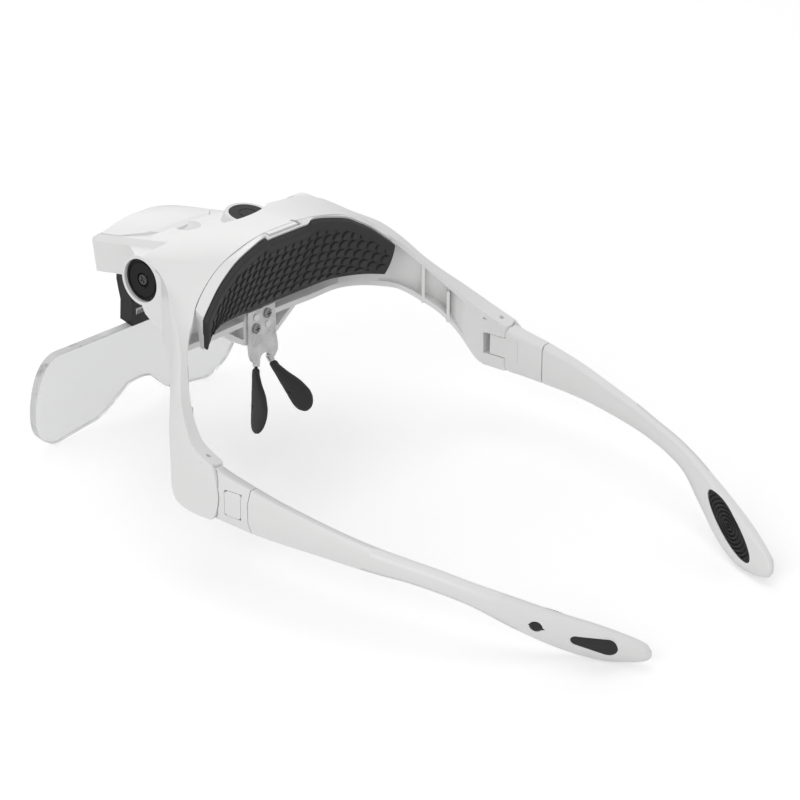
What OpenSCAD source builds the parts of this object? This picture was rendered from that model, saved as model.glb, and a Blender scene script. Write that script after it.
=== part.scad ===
// Lighted magnifier worn like spectacles. Millimetres.
// The body is drawn about the midpoint of the two hinge-pin tops: +X is the
// wearer's left, -Y is forward, +Z is up. seat() then sets it on the table.

/* [Frame] */
// half the distance between the hinge pins
hinge_half = 70; // [66:0.5:74]
// height of the hinge-pin tops above the table
hinge_height = 39.206; // [38:0.002:41]
// wall of the mouldings
wall = 1.8; // [1.4:0.1:2.2]
// round cut in the shelf edge in front of the brow
shelf_scoop_r = 25; // [20:1:30]

/* [Hinges] */
// hinge pin radius
pin_r = 0.75; // [0.6:0.05:0.9]
// radial running clearance of the hinge pin in the temple's tongue
pin_run = 0.05; // [0.02:0.01:0.09]
// outer radius of the frame's hinge ears
ear_r = 4.1; // [3.8:0.1:4.2]
// thickness of the tongue between the ears
tongue_h = 6.9; // [6:0.1:7.2]

/* [Light box] */
// height of the tilt axis over the hinge-pin tops
tilt_z = 31; // [30:0.5:32]
// distance of the tilt axis in front of the hinge pins
tilt_front = 58; // [57:0.5:59]
// forward pitch of the light box as photographed
box_pitch = 8; // [4:1:10]
// half width of the front of the light box
box_half = 20; // [19:0.5:21]
// radius of the tilt knobs
knob_r = 6.75; // [6:0.25:7]
// thickness of a knob's head
knob_t = 1.7; // [1.2:0.1:1.9]
// depth of the knob's face below the face of the lug
knob_sink = 0.9; // [0.8:0.1:1.5]
// radius of the knob shank, and of the bore it turns in less the clearance
shank_r = 3; // [2.5:0.25:3.5]
// radial running clearance of the shank in the lug
shank_run = 0.06; // [0.02:0.01:0.09]
// radius of the power button
button_r = 6.2; // [5.5:0.1:6.4]
// radius of one button cell
cell_r = 5.8; // [5.4:0.1:5.8]
// height of one button cell
cell_h = 3.05; // [2.6:0.05:3.3]
// radius of one lamp
led_r = 2.5; // [1.5:0.5:2.5]

/* [Lens] */
// thickness of the lens plate
lens_t = 2.8; // [2:0.1:3.2]
// angle of the lens plate from upright, lower edge forward
lens_lean = 14; // [8:1:16]
// half width of the lens holder
holder_half = 8.8; // [7:0.2:9]

/* [Nose bracket] */
// half width of the nose bracket
bracket_half = 6.4; // [5.5:0.1:7]
// thickness of the nose bracket's metal
bracket_t = 0.8; // [0.6:0.1:1]
// length of one nose pad
nose_pad_len = 21; // [19:0.5:24]
// half width of one nose pad at its widest
nose_pad_half = 4.5; // [4:0.1:5.4]
// outward lean of a nose pad's wire
leg_splay = 22; // [16:1:26]

/* [Temples] */
// length of the arm's tongue inside the temple base
plug_len = 9.2; // [8:0.2:10]
// thickness of the rubber cushion at the arm's end
cushion_t = 1.6; // [1.3:0.1:2]
// half length of the cushion
cushion_half = 15.1; // [12:0.1:15.5]

/* [Hidden] */
$fn = 48;
mid_y = 12.22;
tilt_y = -tilt_front;
ear_gap_lo = -12.9;
ear_gap_hi = ear_gap_lo + tongue_h + 0.5;
tongue_z0 = ear_gap_lo + 0.25;
skin_x = hinge_half + 2.3;
seam_y = -5;
seam_z = -9.5;
seam_r = 12.4;
lug_in = 33.9;
lug_out = 38.6;
knob_face = lug_out - knob_sink;
knob_floor = knob_face - knob_t - 0.05;
lens_y = -96.2;
lens_z = -2.86;
led_x = box_half - 5.4;
led_y = -38;
led_z = -3.9;
cell_y = -29.3;
cell_pitch = 2 * cell_r + 0.1;
hp_y = -40.6;
hp_z = -4.2;
hp_half = led_x - led_r - 0.5;
boss_x = -13;
boss_y = -1.5;
boss_z = 7.6;
boss_tilt = -18;
lid_axis_y = -37.9;
lid_axis_z = 5.75;
lid_under = 5.25;
lid_half = box_half - 2.2;
spread = hinge_half - 70;
pad_n = [0, -0.909, 0.416];
stem_r = 0.56;
leg_tilt = 15;
leg_twist = 72;
pad_t = 2.2;
carrier_t = 1.4;
rim_gap = 0.2;
arm_seam = 0.35;
tip_roll = 19;
bracket_y = -43.3;
btn_y = 12.7;
btn_z = -10.5;
btn_in = hinge_half + 1.9;
tongue_r = 2.85;
tongue_room = 2.75;

module seat() {
    translate([0, -mid_y, hinge_height]) children();
}
module in_box() {
    translate([0, tilt_y, tilt_z]) rotate([box_pitch, 0, 0]) children();
}
module both() {
    children();
    mirror([1, 0, 0]) children();
}

// Smooth curve through a list of points, m steps a span.
function spline_at(p, i, t) =
    let (n = len(p) - 1, a = p[max(i - 1, 0)], b = p[i], c = p[i + 1], d = p[min(i + 2, n)])
    0.5 * (2 * b + (c - a) * t + (2 * a - 5 * b + 4 * c - d) * t * t
        + (3 * b - a - 3 * c + d) * t * t * t);
function curve(p, m) = concat(
    [for (i = [0 : len(p) - 2]) for (j = [0 : m - 1]) spline_at(p, i, j / m)],
    [p[len(p) - 1]]);
function flip(v) = [-v[0], v[1], v[2]];
function whole(p) = concat([for (i = [len(p) - 1 : -1 : 1]) flip(p[i])], p);
function unit(v) = v / norm(v);

// Skin over a list of rings of equal length.
module skin(rings, other = false) {
    n = len(rings);
    m = len(rings[0]);
    pts = [for (r = rings) for (p = r) p];
    sides = [for (i = [0 : n - 2]) for (j = [0 : m - 1]) for (h = [0, 1])
        let (a = i * m + j, b = i * m + (j + 1) % m, c = b + m, d = a + m)
        other ? (h == 0 ? [a, b, d] : [b, c, d]) : (h == 0 ? [a, b, c] : [a, c, d])];
    ends = [[for (j = [m - 1 : -1 : 0]) j], [for (j = [0 : m - 1]) (n - 1) * m + j]];
    polyhedron(pts, concat(sides, ends));
}

// Long edges of the frame moulding, from the middle out to the left hinge.
edge_front = [[0, -57.5, 41.5], [12, -57.5, 41.3], [26, -57.4, 40.4], [38, -57, 38.9],
    [40.3, -49.3, 37.7], [43.3, -42.4, 35.2], [48.6, -35, 31.8], [52.3, -28.8, 27.1],
    [56.8, -23.2, 20.5], [61.5, -19, 15.2], [66.2, -14, 10.2], [69.8, -8.6, 5.7],
    [72.2, -3.4, 2.1], [73.2, 8.5, -2.4]];
edge_rear = [[0, -34.4, 43.7], [10, -34.2, 43.5], [21, -33.2, 42.1], [30, -32.2, 39.6],
    [37, -31.2, 36], [43, -29.8, 31.5], [47.5, -27.2, 27.6], [50.4, -25.8, 25],
    [54.3, -22.9, 20.4], [58.9, -18.2, 14.2], [62.9, -13, 8.2], [65.6, -7.8, 3.5],
    [67, -2.8, 0.8], [67.8, 8.5, -3.2]];
edge_wall = [[0, -49.6, 39.3], [12, -49.6, 39.1], [24, -49.6, 38.2], [34.6, -49.4, 36.4],
    [40, -47.5, 34.6], [43.6, -41.8, 32.4], [49, -34.8, 29.2], [53, -28.9, 24.8],
    [57.9, -23.6, 18], [63, -19.6, 12], [67.7, -14.8, 5.5], [71.3, -9.6, 0.5],
    [73.4, -3.8, -3], [74.2, 8.5, -6]];
edge_foot = [[0, -49.6, 9.5], [12, -49.6, 9.5], [24, -49.6, 10], [34.6, -49.6, 12.5],
    [40, -47.8, 14.5], [44.3, -42.5, 13.8], [49, -36, 11], [53.8, -31.3, 8],
    [59.5, -26, 4.8], [64.8, -21.2, 0.8], [69.4, -16.4, -7], [72.4, -12.8, -15.2],
    [73.9, -5, -17.8], [74.2, 8.5, -17.6]];
edge_rim = [[0, -44.15, 9.5], [12, -44.15, 9.5], [24, -43.6, 9.5], [33, -43.6, 9.6],
    [38, -42.3, 9.8], [42.5, -39.6, 9.8], [46.5, -35.5, 9.6], [50.5, -29, 9],
    [54.3, -23.3, 5.6], [59, -17.3, 0.3], [63, -12.4, -7], [66, -8, -15],
    [67.2, -4, -17.2], [67.4, 8.5, -17.3]];

function inward(k) = let (d = edge_rim[k] - edge_foot[k]) unit([d[0], d[1], 0]);
edge_lip = [for (k = [0 : 13]) k < 4 ? edge_front[k] + [0, 0.3, -2]
    : (edge_front[k] + edge_wall[k]) / 2 - 0.15 * inward(k)];
edge_wall_in = [for (k = [0 : 13]) edge_wall[k] + wall * inward(k) + [0, 0, k < 3 ? 1.2 : 0.6]];
edge_foot_in = [for (k = [0 : 13]) edge_foot[k] + wall * inward(k) + [0, 0, wall]];
edge_rim_up = [for (p = edge_rim) p + [0, 0, wall]];
edge_rear_dn = [for (p = edge_rear) p - [0, 0, wall]];
// Moves a station outwards with the hinges, more the nearer it is to them.
function spread_out(p) = p + [spread * min(1, max(0, (p[0] - 40) / 25)), 0, 0];
frame_edges = [for (e = [edge_rear, edge_rear_dn, edge_wall_in, edge_foot_in, edge_rim_up,
    edge_rim, edge_foot, edge_wall, edge_lip, edge_front])
    curve(whole([for (p = e) spread_out(p)]), 4)];
frame_rings = [for (i = [0 : len(frame_edges[0]) - 1]) [for (e = frame_edges) e[i]]];

// Middle of the walls round the trough, from the fifth station before the hinge.
trough_rings = [for (i = [84 : 104]) [for (e = [[0, 1], [4, 5], [3, 6], [2, 7]])
    (frame_edges[e[0]][i] + frame_edges[e[1]][i]) / 2]];

// Side view of one lug, drawn as [y, z].
module lug_outline() {
    translate([tilt_y, tilt_z]) circle(8.1);
    polygon([[tilt_y, tilt_z + 8.1], [-49, 37.2], [-46.4, 35.4], [-46.2, 15.6], [-52, 17],
        [-56.5, 20.4], [tilt_y, 23.2]]);
}
// Stands a [y, z] outline up with its thickness along X.
module along_x(x0, x1) {
    translate([x0, 0, 0]) rotate([90, 0, 90]) linear_extrude(x1 - x0) children();
}
module hinge_axis() {
    translate([hinge_half, 0, 0]) children();
}

module front_frame() {
    color("white") seat() difference() {
        union() {
            skin(frame_rings);
            both() along_x(lug_in, lug_out) lug_outline();
            both() frame_hinge_fill();
            both() arm_ribs();
            nose_mount();
            snap_tab();
        }
        // bores for the knob shanks, and the recess the knob sits in
        both() translate([lug_in - 1, tilt_y, tilt_z]) rotate([0, 90, 0])
            cylinder(r = shank_r + shank_run, h = 8);
        both() translate([knob_floor, tilt_y, tilt_z]) rotate([0, 90, 0])
            cylinder(r = knob_r + 0.3, h = 5);
        // flat face of the lug, sunk in the cheek
        both() translate([lug_out, tilt_y, tilt_z]) rotate([0, 90, 0])
            cylinder(r = knob_r + 2.4, h = 8);
        // scooped shelf edge over the light box
        translate([-3, -77, 30]) cylinder(r = shelf_scoop_r, h = 20, $fn = 96);
        both() hinge_cuts();
        for (s = [[-2.7, 11.3], [2.7, 7.6]])
            translate([s[0], -48.2, s[1]]) rotate([-90, 0, 0]) cylinder(r = 0.8, h = 5);
        translate([25.5, -45.5, 41.2]) cylinder(r = 0.6, h = 2);
        // gap round the end of the clip
        translate([-7.4, -36, 39]) cube([1.6, 4, 6]);
        both() skin_marks();
    }
}
// A raised-looking arch and a short slot moulded into the skin over the hinge.
module skin_marks() {
    translate([hinge_half + 3.9, -1.6, -8.2]) rotate([0, 90, 0]) difference() {
        cylinder(r = 3, h = 3);
        translate([0, 0, -1]) cylinder(r = 2.5, h = 5);
        translate([0, -4, -1]) cube([4, 8, 5]);
    }
    translate([hinge_half + 3.9, -6.2, -12]) rotate([22, 0, 0]) cube([3, 0.5, 2]);
}
module frame_hinge_fill() {
    ear_in = -2.9;
    ear_out = 3.3;
    hinge_axis() {
        for (z = [[-17.2, ear_gap_lo], [ear_gap_hi, -2]])
            translate([0, 0, z[0]]) linear_extrude(z[1] - z[0]) intersection() {
                union() {
                    circle(ear_r);
                    translate([ear_in, -5.6]) square([ear_out - ear_in, 5.6]);
                }
                translate([ear_in, -8]) square([ear_out - ear_in, 16]);
            }
        // the ears run forward into the wall
        intersection() {
            translate([-hinge_half, 0, 0]) skin(trough_rings);
            translate([0, 0, -17.2]) linear_extrude(24)
                polygon([[-3.4, -5.2], [-4.5, -8], [-5.9, -11.5], [-6.2, -16.8], [-2, -14],
                    [3, -9], [3, -5.2]]);
        }
        translate([0, 0, ear_gap_hi]) linear_extrude(4.8)
            polygon([[ear_in, 0], [ear_in, -3], [-4, -8], [-5.6, -12.5], [-3, -13.5],
                [0.5, -9.6], [2.6, -5], [ear_out, 0]]);
        translate([0, 0, -16.4]) linear_extrude(3.5)
            polygon([[ear_in, -2], [-3.2, -5.4], [0, -6.6], [2.4, -5], [ear_out, -2]]);
    }
}
module hinge_cuts() {
    // inside of the skin, behind the ears
    difference() {
        translate([hinge_half - 8, 0, -25]) cube([skin_x - hinge_half + 8, 12, 30]);
        hinge_axis() translate([0, 0, -26]) cylinder(r = ear_r, h = 32);
    }
    // curved rear edge of the outer skin
    difference() {
        translate([skin_x - 0.01, 0, -25]) cube([8, 12, 30]);
        translate([60, seam_y, seam_z]) rotate([0, 90, 0]) cylinder(r = seam_r, h = 20);
    }
    // slot for the tongue, with room for its corner as it folds
    hinge_axis() translate([0, 0, ear_gap_lo]) linear_extrude(tongue_h + 0.5) {
        translate([-8, -4.3]) square([8 + tongue_room, 15]);
        circle(tongue_r + 0.25);
    }
    hinge_axis() translate([0, 0, -17]) cylinder(r = pin_r, h = 30);
}
module arm_ribs() {
    for (r = [[58.2, -25, 4.2, 13.4, 41], [63.6, -18.2, -2.6, 10.6, 46]])
        translate(spread_out([r[0], r[1], r[2]])) rotate([0, 0, r[4]])
            translate([-0.5, 1.2, 0]) cube([1, 3.2, r[3]]);
}
module nose_mount() {
    translate([-6.4, -49, 2.6]) cube([12.8, 4.85, 11.4]);
    for (s = [-1, 1]) {
        translate([s * 2.7, -44.3, s > 0 ? 11.3 : 7.6]) rotate([-90, 0, 0])
            cylinder(r = 1.15, h = 1.3);
        translate([0, -44.15, 0]) rotate([90, 0, 0]) linear_extrude(5)
            polygon([[s * 6.4, 2.6], [s * 8, 3.2], [s * 17.5, 9.6], [s * 14.8, 9.6],
                [s * 8.2, 5.2], [s * 7.6, 5.4], [s * 7.6, 11], [s * 6.4, 13.2]]);
        translate([0, -48, 0]) rotate([90, 0, 0]) linear_extrude(1.2)
            polygon([[s * 6.4, 2.6], [s * 8, 3.2], [s * 17.5, 9.6], [s * 6.4, 12]]);
    }
}
module snap_tab() {
    translate([-5.8, -36, 42.25]) cube([13, 3.6, 1.3]);
}

// Edges of the forehead pad, from the middle out: top, then bottom.
pad_top = [[0, -29.6, 41.2], [6, -29.6, 41.2], [9.6, -29.5, 41.2], [10.9, -29, 42.6],
    [16.1, -28.2, 42], [25, -27.2, 39.7], [30.4, -26.7, 37], [35.6, -25.9, 33.9],
    [40.5, -24.9, 30], [44.2, -24, 27]];
pad_bot = [[0, -41.6, 15], [6, -41.2, 15.1], [9.6, -40.7, 15.4], [11.4, -40.3, 15.6],
    [16.5, -38.6, 16.6], [24.1, -36.6, 17.5], [28.8, -35, 17.6], [33.4, -32.6, 17.6],
    [38, -30.1, 17.2], [41.8, -26.6, 16.8]];
seat_top = [for (p = pad_top) p + pad_t * pad_n];
seat_bot = [for (p = pad_bot) p + pad_t * pad_n];

function rings_of(edges, m) = let (c = [for (e = edges) curve(whole(e), m)])
    [for (i = [0 : len(c[0]) - 1]) [for (e = c) e[i]]];

module forehead_pad() {
    crown = [for (k = [0 : 9]) (pad_top[k] + pad_bot[k]) / 2 - 0.7 * pad_n];
    upper = [for (k = [0 : 9]) 0.85 * pad_top[k] + 0.15 * pad_bot[k] - 0.35 * pad_n];
    lower = [for (k = [0 : 9]) 0.15 * pad_top[k] + 0.85 * pad_bot[k] - 0.35 * pad_n];
    color("#262626") seat()
        skin(rings_of([seat_top, pad_top, upper, crown, lower, pad_bot, seat_bot], 3));
}
module pad_carrier() {
    over = [for (k = [0 : 9]) seat_top[k] + [0, 0.3, k < 3 ? 0.6 : 0.75]];
    rear_y = [for (p = edge_rear) [p[0], p[1]]];
    rear_z = [for (p = edge_rear) [p[0], p[2]]];
    // the rim's front edge follows the frame's rear edge, a gap behind it
    over_front = [for (k = [0 : 9]) let (x = pad_top[k][0])
        [x, lookup(x, rear_y) + rim_gap, lookup(x, rear_z)]];
    under = [for (p = seat_bot) p + [0, 0.35, -0.9]];
    back_lo = [for (k = [0 : 9]) seat_bot[k] + carrier_t * pad_n + [0, 0, -1.2]];
    back_hi = [for (p = over_front) p + [0, 0, -1.6]];
    color("white") seat() difference() {
        union() {
            skin(rings_of([over, seat_top, seat_bot, under, back_lo, back_hi, over_front], 3),
                true);
            // posts pressed against the front wall
            for (x = [-18, 18]) for (z = [21, 33]) translate([x, wall - 49.57, z])
                rotate([-90, 0, 0]) cylinder(r = 1.6, h = z > 30 ? 12.7 : 7.8);
        }
        translate([-6, -36.2, 42.2]) cube([13.5, 4.2, 3]);
        translate([-7.4, -36.2, 39.5]) cube([1.6, 4.2, 6]);
    }
}

// Metal bracket under the brow that carries the nose pads.
module nose_plate() {
    color("#a9acb0") seat() difference() {
        union() {
            translate([0, bracket_y, 0]) rotate([90, 0, 0]) linear_extrude(bracket_t)
                polygon([[-bracket_half, 4.6], [bracket_half, 4.6], [bracket_half, 13.9],
                    [-bracket_half, 13.9]]);
            translate([0, bracket_y, 4.6]) rotate([8, 0, 0]) rotate([90, 0, 0])
                linear_extrude(bracket_t) difference() {
                    polygon([[-bracket_half, 0.01], [-6.7, -5], [-6.2, -7], [-4.6, -8.6],
                        [4.6, -8.6], [6.2, -7], [6.7, -5], [bracket_half, 0.01]]);
                    translate([0, -8.6]) circle(2.5);
                }
            for (s = [-1, 1]) on_leg(s) cylinder(r = 1.15, h = 2.4);
        }
        for (s = [-1, 1]) for (z = [11.3, 7.6])
            translate([s * 2.7, bracket_y + 1, z]) rotate([90, 0, 0])
                cylinder(r = (s > 0) == (z > 9) ? 1.2 : 0.9, h = 3);
        for (s = [-1, 1]) on_leg(s) translate([0, 0, -1]) cylinder(r = stem_r + 0.06, h = 4);
    }
}
module nose_screws() {
    color("#8f9296") seat() for (s = [[-2.7, 11.3], [2.7, 7.6]])
        translate([s[0], bracket_y, s[1]]) rotate([-90, 0, 0]) difference() {
            union() {
                cylinder(r = 1.7, h = 0.4);
                translate([0, 0, 0.4]) cylinder(r1 = 1.7, r2 = 1.1, h = 0.35);
                translate([0, 0, -4.8]) cylinder(r = 0.8, h = 4.8);
            }
            for (a = [0, 90]) rotate([0, 0, a]) translate([-1, -0.2, 0.3]) cube([2, 0.4, 1]);
        }
}

// Hangs a child from the end of the bracket's leg, along -Z, face along +Y.
module on_leg(s) {
    translate([s * 3.7, bracket_y + 0.45, -5.2]) rotate([leg_tilt, s * -leg_splay, 0])
        rotate([0, 0, s * leg_twist]) children();
}
module nose_stem(s) {
    color("#1f1f1f") seat() on_leg(s) {
        translate([0, 0, -5.4]) cylinder(r = stem_r, h = 7.6);
    }
}
// Stations down one nose pad: share of its length, share of its half width, half thickness.
// The edge towards the nose bridge stays straight, the other one bulges: leaf_bulge
// moves each station's middle over.
leaf = [[0, 0.2, 0.75], [0.03, 0.32, 1.05], [0.1, 0.35, 1.15], [0.245, 0.53, 1.2], [0.36, 0.73, 1.25],
    [0.46, 0.87, 1.25], [0.64, 1, 1.2], [0.76, 0.97, 1.15], [0.87, 0.83, 1.05], [0.95, 0.58, 0.85],
    [1, 0.2, 0.5]];
leaf_bulge = [[0, 0], [0.1, 0.05], [0.245, 0.9], [0.36, 1.75], [0.46, 2.4], [0.64, 3], [0.76, 2.85],
    [0.87, 2.4], [0.95, 2.05], [1, 1.9]];
function leaf_ring(k) = let (w = leaf[k][1] * nose_pad_half, t = leaf[k][2],
    c = lookup(leaf[k][0], leaf_bulge), z = -0.6 - leaf[k][0] * nose_pad_len)
    [for (j = [0 : 15]) let (a = -22.5 * j) [c + w * cos(a), t * sin(a), z]];
module nose_leaf() {
    rings = [for (k = [0 : 10]) leaf_ring(k)];
    lines = [for (j = [0 : 15]) curve([for (r = rings) r[j]], 2)];
    skin([for (i = [0 : len(lines[0]) - 1]) [for (e = lines) e[i]]]);
}
module nose_pad(s) {
    color("#262626") seat() on_leg(s) mirror([s > 0 ? 0 : 1, 0, 0]) difference() {
        nose_leaf();
        translate([0, 0, -5.4]) cylinder(r = stem_r, h = 6.5);
        translate([0.4, 3, -0.62 * nose_pad_len]) rotate([90, 0, 0]) cylinder(r = 0.55, h = 6);
    }
}

module hinge_pin() {
    color("#b8bbbf") seat() hinge_axis() translate([0, 0, -16.9]) cylinder(r = pin_r, h = 16.1);
}

// Stations of the temple: centre x, y, thickness, top z, bottom z.
stem = [[70.75, -2, 6.9, -0.2, -17.6], [70.8, 4, 6.6, -1.8, -17.8], [70.85, 10, 6.1, -3.2, -18],
    [70.8, 18.2, 5.4, -4.6, -18.4], [70.2, 27, 4.9, -6.4, -18.6], [69.2, 35, 4.6, -8, -18.8],
    [67.8, 43, 4.4, -9.8, -19.2], [66.2, 51, 4.2, -11.5, -19.8], [64, 60, 4, -13.2, -20.5],
    [61.3, 68.5, 4, -14.8, -21.2], [58.5, 77, 4, -16.3, -22.7], [55, 86, 4.2, -18.5, -25.3],
    [49.7, 96, 4.5, -21.2, -31], [43.6, 107, 4.8, -24.3, -36.5], [38.1, 117, 4.6, -27, -39.06],
    [34, 125, 3.8, -29.8, -38.6], [32, 129.2, 2.8, -31.8, -37.4],
    [31.3, 130.72, 1, -33.9, -35.9]];
function stem_dir(k) = unit([stem[min(k + 1, 17)][0] - stem[max(k - 1, 0)][0],
    stem[min(k + 1, 17)][1] - stem[max(k - 1, 0)][1], 0]);
// Roll of a station, its top leaning outwards, which turns the ear end to the head.
function stem_roll(k) = lookup(k, [[9, 0], [10, 3], [11, 8], [12, 14], [13, tip_roll], [17, tip_roll]]);
function stem_ring(k) = let (s = stem[k], d = stem_dir(k), n = [d[1], -d[0], 0], w = s[2],
    h = s[3] - s[4], c = [s[0] + spread, s[1], (s[3] + s[4]) / 2], r = stem_roll(k))
    [for (q = [[-0.3, -0.01], [-0.5, -0.12], [-0.5, -0.9], [-0.3, -1], [0.24, -1], [0.5, -0.72],
        [0.5, -0.28], [0.22, 0]])
        c + q[0] * w * (cos(r) * n - sin(r) * [0, 0, 1])
            + (q[1] + 0.5) * h * (cos(r) * [0, 0, 1] + sin(r) * n)];
function stem_rings(a, b, m) = let (r = [for (k = [a : b]) stem_ring(k)],
    c = [for (j = [0 : 7]) curve([for (p = r) p[j]], m)])
    [for (i = [0 : len(c[0]) - 1]) [for (e = c) e[i]]];

module base_body() {
    difference() {
        skin(stem_rings(0, 3, 4));
        // hollow of the hinge, concentric with the ears
        hinge_axis() translate([0, 0, -25]) cylinder(r = ear_r + 0.3, h = 30);
        translate([hinge_half - 10, -10, -25]) cube([20, 10, 30]);
        // curved seam against the outer skin
        intersection() {
            translate([skin_x - 0.3, -10, -25]) cube([12, 30, 30]);
            translate([60, seam_y, seam_z]) rotate([0, 90, 0])
                cylinder(r = seam_r + 0.3, h = 20);
        }
    }
}
module temple_base() {
    color("white") seat() difference() {
        union() {
            base_body();
            // tongue between the ears
            hinge_axis() translate([0, 0, tongue_z0]) linear_extrude(tongue_h) intersection() {
                translate([-2.7, -4.3]) square([4.6, 13]);
                union() {
                    circle(tongue_r);
                    polygon([[-2.7, -2.7], [0, -tongue_r], [1.9, 0], [6, 3], [6, 12], [-4, 12],
                        [-4, -2.7]]);
                }
            }
        }
        hinge_axis() translate([0, 0, -20]) cylinder(r = pin_r + pin_run, h = 30);
        // socket for the arm's plug, window for the button
        translate([hinge_half - 1.25, 8.8, -15.1]) cube([2.3, 12, 9.1]);
        translate([hinge_half + 0.5, btn_y - 3.15, btn_z - 4.05]) cube([6, 6.3, 8.1]);
    }
}
module button_shape(x0, x1, inset) {
    translate([x0, btn_y, btn_z]) rotate([90, 0, 90]) linear_extrude(x1 - x0)
        polygon([[-3 + inset, -3.2], [-2.2, -3.9 + inset], [2.2, -3.9 + inset], [3 - inset, -3.2],
            [3 - inset, 3.2], [2.2, 3.9 - inset], [-2.2, 3.9 - inset], [-3 + inset, 3.2]]);
}
module release_button() {
    color("white") seat() difference() {
        intersection() {
            button_shape(btn_in, hinge_half + 6, 0);
            skin(stem_rings(0, 3, 4));
        }
        translate([btn_in - 1, btn_y, btn_z]) rotate([0, 90, 0]) cylinder(r = 1.8, h = 1.72);
    }
}

// Round wire coil along +Z.
module coil(r, wire, h, turns) {
    n = turns * 12;
    skin([for (i = [0 : n]) let (a = i * 30, c = [r * cos(a), r * sin(a), wire + (h - 2 * wire) * i / n])
        [for (j = [0 : 4]) let (b = -j * 72) c + wire * [cos(a) * cos(b), sin(a) * cos(b), sin(b)]]]);
}
module button_spring() {
    color("#b8bbbf") seat() translate([hinge_half + 0.9, btn_y, btn_z]) rotate([0, 90, 0])
        coil(1.3, 0.14, 1.7, 2);
}

// Local frame of the cushion at the arm's end: long way along Y, outward +X.
module on_cushion() {
    translate([43.1 + spread, 108, -31.2]) rotate([0, 0, 28.6]) rotate([-16, 0, 0])
        rotate([0, tip_roll, 0]) children();
}
// Outline of the inner pad, a slim ellipse laid a little askew to the arm.
module cushion_oval() {
    translate([2.7, 1.55]) rotate(-5.5)
        polygon([for (i = [0 : 47]) [cushion_half * cos(7.5 * i), 3.5 * sin(7.5 * i)]]);
}
// The two plugs that show on the outside: a dot with points, and a tapered pill.
module cushion_plugs() {
    translate([-7, 1.4]) circle(1.95);
    polygon([[-9.4, 1.4], [-7, 0.1], [-4.2, 1.4], [-7, 2.7]]);
    polygon([[4.9 - 0.2, 1.5 + 1.79], [4.9 + 0.2, 1.5 - 1.79], [13.6 + 0.4, 2.4 - 2.87],
        [13.6 - 0.4, 2.4 + 2.87]]);
    translate([4.9, 1.5]) circle(1.8);
    translate([13.6, 2.4]) circle(2.9);
}
module cushion_solid(proud, reach) {
    translate([-1.3 - cushion_t - proud, 0, 0]) rotate([90, 0, 90])
        linear_extrude(cushion_t + proud) cushion_oval();
    translate([-1.5, 0, 0]) rotate([90, 0, 90]) linear_extrude(reach) cushion_plugs();
}
module arm_body() {
    skin(stem_rings(3, 17, 4));
}
module temple_arm() {
    color("white") seat() difference() {
        union() {
            difference() {
                arm_body();
                // seam left open against the base
                translate([hinge_half - 10, 17, -30]) cube([20, 1.2 + arm_seam, 40]);
            }
            translate([hinge_half - 1.1, 18.3 - plug_len, -14.95])
                cube([2, plug_len + 1.5, 8.8]);
        }
        on_cushion() cushion_solid(4, 8);
    }
}
module temple_cushion() {
    color("#262626") seat() intersection() {
        on_cushion() cushion_solid(0, 6);
        union() {
            arm_body();
            on_cushion() translate([-1.3 - cushion_t, -16, -6]) cube([cushion_t, 38, 16]);
        }
    }
}

// Plan of the light box, drawn forward of the tilt axis.
module box_plan(inset) {
    w = box_half - inset;
    polygon([[-w, -41 + inset], [-w + 2, -42.3 + inset], [-9, -43.3 + inset], [9, -43.3 + inset],
        [w - 2, -42.3 + inset], [w, -41 + inset], [w, -23.5], [26 - inset, -15], [33 - inset, -9.5],
        [33 - inset, 8], [-33 + inset, 8], [-33 + inset, -9.5], [-26 + inset, -15], [-w, -23.5]]);
}
function arch(h, w, n, flat) = [for (i = [0 : n]) let (x = -w + 2 * w * i / n)
    [x, h - x * x / flat]];
module box_front_view() {
    polygon(concat([[-34, -6.3], [-34, 3.6], [-box_half, 4]], arch(7, box_half - 1.8, 16, 300),
        [[box_half, 4], [34, 3.6], [34, -6.3]]));
}
module box_outer() {
    intersection() {
        translate([0, 0, -6.3]) linear_extrude(14) box_plan(0);
        rotate([90, 0, 0]) translate([0, 0, -12]) linear_extrude(60) box_front_view();
        along_x(-40, 40) polygon([[-46, -8], [-46, 2.2], [-38.6, 6.6], [-35.5, 8], [-18, 8],
            [-12, 6.3], [9, 6.3], [9, -8]]);
        union() {
            translate([-40, -50, -10]) cube([80, 50, 30]);
            translate([-40, 0, 0]) rotate([0, 90, 0]) cylinder(r = 6.3, h = 80);
        }
    }
}
module boss_frame() {
    translate([boss_x, boss_y, boss_z]) rotate([boss_tilt, 0, 0]) children();
}
module lid_plan(inset) {
    w = lid_half - inset;
    polygon([[-w, -38.4 + inset], [w, -38.4 + inset], [w, -30], [w - 3.2, -21],
        [10.4, -16.6 - inset], [-10.4, -16.6 - inset], [-w + 3.2, -21], [-w, -30]]);
}
module lamp_hole(grow) {
    translate([led_x, led_y, led_z]) rotate([135, 0, 0]) cylinder(r = led_r + grow, h = 12);
}
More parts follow.
